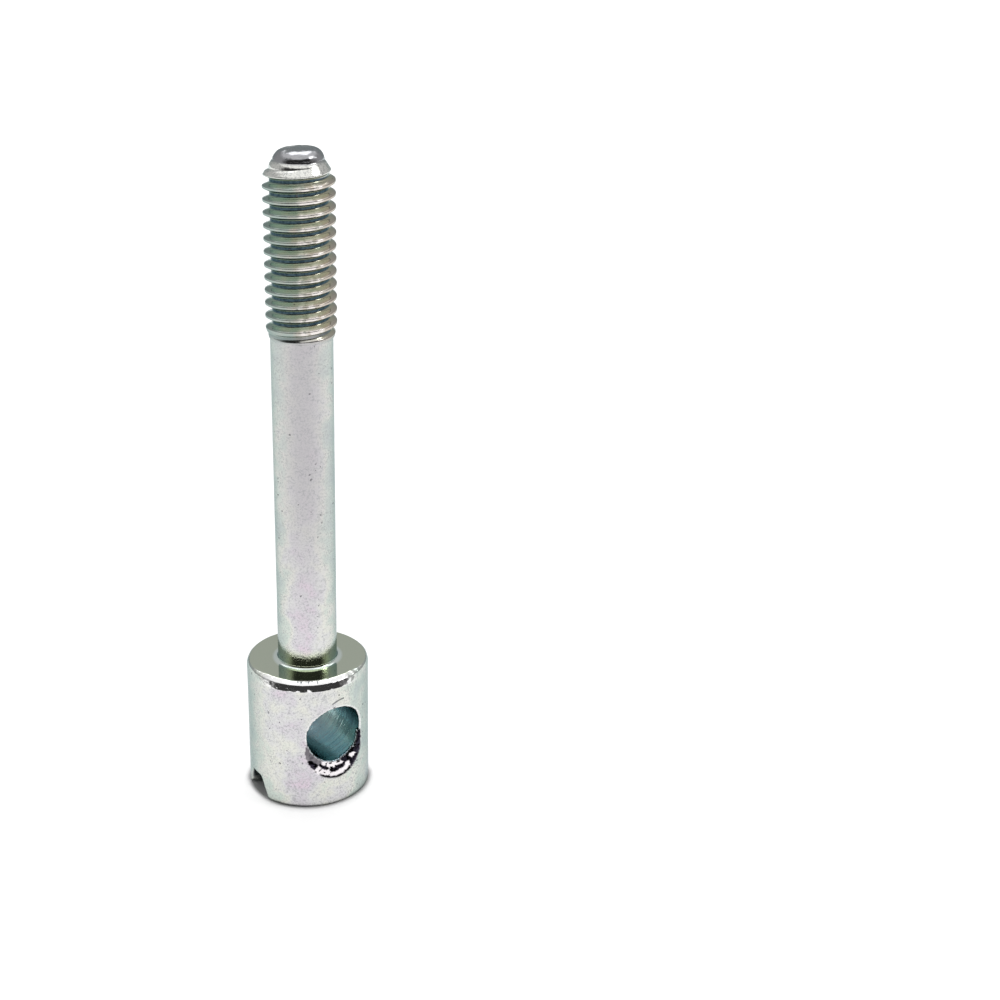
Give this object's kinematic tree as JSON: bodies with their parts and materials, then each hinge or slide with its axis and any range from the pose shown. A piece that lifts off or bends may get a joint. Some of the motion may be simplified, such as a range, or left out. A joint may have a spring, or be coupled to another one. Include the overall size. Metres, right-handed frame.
{
  "type": "capstan screw",
  "caption": "Long slender screw with a plain shank, a thread at its tip and a tall round head that has a cross hole for a bar or wire, and a slotted cross recess in its end.",
  "frame": {"origin": "centre of the head's end face, on the surface that the screw stands on", "axes": "+Z along the screw from its head to its tip, Y along the cross hole, X along the slot"},
  "size_m": [0.0072, 0.0072, 0.0383],
  "materials": {
    "zinc_plate": "bright zinc plate with a clear blue-green passivation"
  },
  "bodies": {
    "root": {"capstan_screw": "zinc_plate"}
  },
  "joints": []
}
